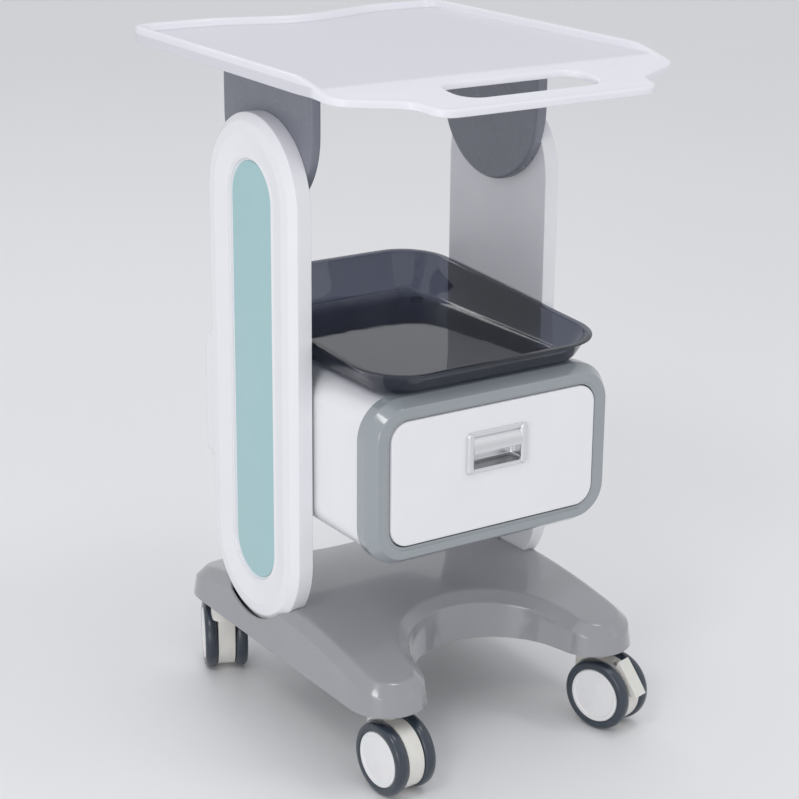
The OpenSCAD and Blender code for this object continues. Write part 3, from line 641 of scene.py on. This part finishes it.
def makeSmokedTray(s):
    outline = roundRect(*s["box"], steps=18)
    bottom = s["bottom"]

    def rim(y):
        return s["rim"] + s["tilt"] * (y - s["box"][1])

    def wall(d0, d1, t, low):  # a straight flared wall, t from the bottom up
        return d0 + (d1 - d0) * t, lambda y, t=t: low + (rim(y) - 2.6 - low) * t

    w = s["wall"]
    outer = [(44, lambda y: bottom), (34, lambda y: bottom + 0.2), (29.5, lambda y: bottom + 1.2),
             (26.6, lambda y: bottom + 3.4)]
    outer += [wall(s["flare"], s["flange"], t, bottom) for t in (0.25, 0.5, 0.75, 0.95)]
    flange = [(s["flange"] - 1.5, lambda y: rim(y) - 2.5), (1, lambda y: rim(y) - 2.4), (0.2, lambda y: rim(y) - 1.8),
              (0.2, lambda y: rim(y) - 0.7), (0.9, lambda y: rim(y) - 0.1), (s["flange"] + 0.6, lambda y: rim(y)),
              (s["flange"] + w, lambda y: rim(y) - 1)]
    inner = [wall(s["flare"] + w, s["flange"] + w, t, bottom + w) for t in (0.9, 0.7, 0.45, 0.22)]
    inner += [(29.8, lambda y: bottom + w + 2.6), (33, lambda y: bottom + w + 0.8), (38, lambda y: bottom + w + 0.1),
              (45, lambda y: bottom + w)]
    shell = Shell()
    shell.rings([[(x, y, z(y)) for x, y in inset(outline, d)] for d, z in outer + flange + inner], caps=(True, True))
    for cx, cy in s["feet"]:
        shell.rings([[(cx + p[0], cy + p[1], z) for p in arc(0, 0, r, 0, 345, 23)] for r, z in s["foot"]],
                    caps=(True, True))
    shell.build("smoked_tray_sheet", smokedSheet, "lift_tray", ["smoked_tray"], 40)


makeSmokedTray(smoked)
print("smoked tray")

# base: four legs from one moulding, pockets at the sides for the columns

base = {
    "outline": (arc(170, -214, 55, 180, 360, 24), arc(170, 203, 55, 0, 166, 22), arc(0, 378, 200, -55, -125, 20),
                arc(-170, 203, 55, 14, 180, 22), arc(-170, -214, 55, 180, 360, 24), arc(0, -229, 115, 172, 8, 24)),
    "bottom": 116, "top": 184, "drop": 34, "middle": -12, "half": 263.5, "draft": 0.16, "shoulder": 15, "wall": 3.5,
    # the pocket's middle and ends, then its reach along X with its radius, closing in towards the outside
    "pocket": (57.5, 253.5, 735),
    "pocketRings": ((184.6, 114.8), (206.4, 114.8), (210, 112.6), (216, 108.2), (260, 108.2)),
}


def cutAway(piece, cutters):  # the cut is made once and kept in the mesh
    piece.modifiers.clear()
    for cutter in cutters:
        step = piece.modifiers.new("pocket", "BOOLEAN")
        step.operation = "DIFFERENCE"
        step.object = cutter
        step.solver = "EXACT"
    bpy.context.view_layer.update()
    shown = piece.evaluated_get(bpy.context.evaluated_depsgraph_get())
    mesh = bpy.data.meshes.new_from_object(shown)
    piece.modifiers.clear()
    piece.data = mesh
    for cutter in cutters:
        bpy.data.objects.remove(cutter)


def makeBase(s):
    outline = evenOutline([p for part in s["outline"] for p in part], 6, 4)

    def top(y):
        return s["top"] - s["drop"] * ((y - s["middle"]) / s["half"]) ** 2

    def lean(y):  # how far the draft has carried the wall in at the shoulder
        return s["draft"] * (top(y) - s["bottom"] - s["shoulder"])

    w, deep = s["wall"], s["shoulder"]
    # inset, whether it follows the top, and the height from there
    sections = [(w + 17, 1, -w), (w, 1, -deep - 1), (w, 0, 0), (0.8, 0, 0), (0.1, 0, 0.8), (0, 1, -deep),
                (0.3, 1, -deep + 1.3),
                (1.1, 1, -deep + 2.4), (13.2, 1, -2.2), (15.3, 1, -1.0), (17.8, 1, -0.4), (21, 1, -0.1), (26, 1, 0)]
    shell = Shell()
    rings = []
    for d, upper, dz in sections:
        ring = []
        for x, y, nx, ny in outline:
            at = d + (lean(y) if upper else 0)
            px, py = x + nx * at, y + ny * at
            ring.append((px, py, (top(py) if upper else s["bottom"]) + dz))
        rings.append(ring)
    first = shell.rings(rings)
    n = len(outline)
    shell.fill([[p[:2] for p in rings[-1]]], [first + (len(rings) - 1) * n], lambda x, y: top(y), 18)
    shell.fill([[p[:2] for p in rings[0]]], [first], lambda x, y: top(y) - w, 26)
    piece = shell.build("base_moulding", baseAbs, "frame", ["base_shell"], 40)
    y, low, high = s["pocket"]
    cutters = []
    for side in (-1, 1):
        block = Shell()
        block.rings([[(side * x, p[0], p[1]) for p in stadium(y, low, high, r, 48)] for x, r in s["pocketRings"]],
                    caps=(True, True))
        cutters.append(block.build("pocket", baseAbs, "frame"))
    cutAway(piece, cutters)
    piece.data.shade_smooth()
    piece.data.set_sharp_from_angle(angle=math.radians(40))
    evenShading(piece)


makeBase(base)
print("base")

# casters: twin wheels turned about their axles

caster = {
    # degrees from +X to the axle, and which of the two wheels is the outer one
    "fl": {"turn": 274, "outer": -1}, "fr": {"turn": 286, "outer": 1},
    "rl": {"turn": 66, "outer": 1}, "rr": {"turn": 80, "outer": -1},
    "trail": 28, "height": 50, "inner": 13,
    # radius and distance from the wheel's inner face
    "hub": ((0, 15), (5.1, 15), (5.1, 0.1), (38, 0.1), (38, 15.6), (37.4, 17.2), (36.2, 18), (33.4, 18), (32.2, 17.4),
            (31.4, 16.5), (20, 16.9), (9, 17.1), (8, 17.5), (0, 17.6)),
    "tyre": ((38, 0.5), (42, 0), (46, 0.5), (48.6, 2.6), (49.8, 6), (50, 9), (49.8, 12), (48.6, 15.4), (46, 17.5),
             (42, 18), (39, 17.6), (38, 16.4)),
}


def lathe(profile, side, s):
    rings = []
    for r, w in profile:
        rings.append([(s["trail"] + r * math.cos(a), side * (s["inner"] + w), s["height"] + r * math.sin(a))
                      for a in np.linspace(0, 2 * math.pi, 73)[:-1]])
    return rings


def makeCaster(corner, s):
    low, high = boxMm(corner + "_stem")
    place = Matrix.Translation(Vector(((low[0] + high[0]) / 2, (low[1] + high[1]) / 2, 0)) * mm)
    turn = place @ Matrix.Rotation(math.radians(s[corner]["turn"]), 4, "Z")
    for wheel, side in (("outer", s[corner]["outer"]), ("inner", -s[corner]["outer"])):
        body = corner + "_" + wheel + "_wheel"
        node = corner + "_" + wheel
        hub = Shell()
        hub.rings(lathe(s["hub"], side, s))
        hub.build(node + "_hub_disc", hubPlastic, body, [node + "_hub"], 38, turn)
        tyre = Shell()
        tyre.rings(lathe(s["tyre"], side, s), loop=True)
        tyre.build(node + "_tyre_tread", treadPu, body, [node + "_tyre"], 60, turn)


for corner in ("fl", "fr", "rl", "rr"):
    makeCaster(corner, caster)
print("casters")

# the frame's own nodes that stay in view take a finish; moulded ones get eased edges


def easeEdges(node, widthMm):
    step = node.modifiers.new("eased_edges", "BEVEL")
    step.width = widthMm * mm
    step.segments = 2
    step.limit_method = "ANGLE"
    step.angle_limit = math.radians(40)


finish = {
    "column_cover": coverAbs, "drawer_box": coverAbs, "post": chassisCoat, "base_frame": chassisCoat, "bolts": pinSteel,
    "rail": railSteel, "stem": pinSteel, "axle": pinSteel, "pin": pinSteel, "hood": hoodNylon, "pedal": hoodNylon,
}
for name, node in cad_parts.items():
    if node.hide_render:
        continue
    material = next(m for end, m in finish.items() if name.endswith(end))
    node.data.materials.clear()
    node.data.materials.append(material)
    if material is hoodNylon:
        easeEdges(node, 0.9)
print("frame nodes finished")

# studio: pale seamless floor, bright surround, large soft lights


def floorPaint(name):
    # matt painted floor, nearly white, with a trace of gloss
    material, tree, shader, place = newMaterial(name)
    setFinish(shader, IOR=1.45)
    mottle(tree, place, shader, "#f4f4f5", "#f1f1f2", 900, 0.5, 0.05)
    return material


# name, place and size in metres, power in watts
studioLamps = (
    ("key", (-2.2, -1.4, 3.4), 0.9, 17),
    ("side", (-3.4, -2.4, 1.0), 1.6, 24),
    ("fill", (2.8, -3.0, 2.2), 2.0, 4),
    ("top", (0.9, -1.0, 3.6), 0.7, 9),
    ("back", (0.6, 3.2, 3.0), 0.8, 7),
)


def makeStudio():
    mesh = bpy.data.meshes.new("floor")
    mesh.from_pydata([(-30, -30, 0), (30, -30, 0), (30, 30, 0), (-30, 30, 0)], [], [(0, 1, 2, 3)])
    mesh.materials.append(floorPaint("floor_paint"))
    floor = bpy.data.objects.new("floor", mesh)
    bpy.context.scene.collection.objects.link(floor)
    world = bpy.data.worlds.new("studio")
    world.use_nodes = True
    world.node_tree.nodes["Background"].inputs["Color"].default_value = (0.96, 0.97, 1.0, 1.0)
    world.node_tree.nodes["Background"].inputs["Strength"].default_value = 0.72
    bpy.context.scene.world = world
    for name, place, size, power in studioLamps:
        data = bpy.data.lights.new(name, "AREA")
        data.size = size
        data.energy = power
        lamp = bpy.data.objects.new(name, data)
        bpy.context.scene.collection.objects.link(lamp)
        aim = Vector((0, 0, 0.5)) - Vector(place)
        lamp.matrix_world = Matrix.Translation(Vector(place)) @ aim.to_track_quat("-Z", "Y").to_matrix().to_4x4()


makeStudio()
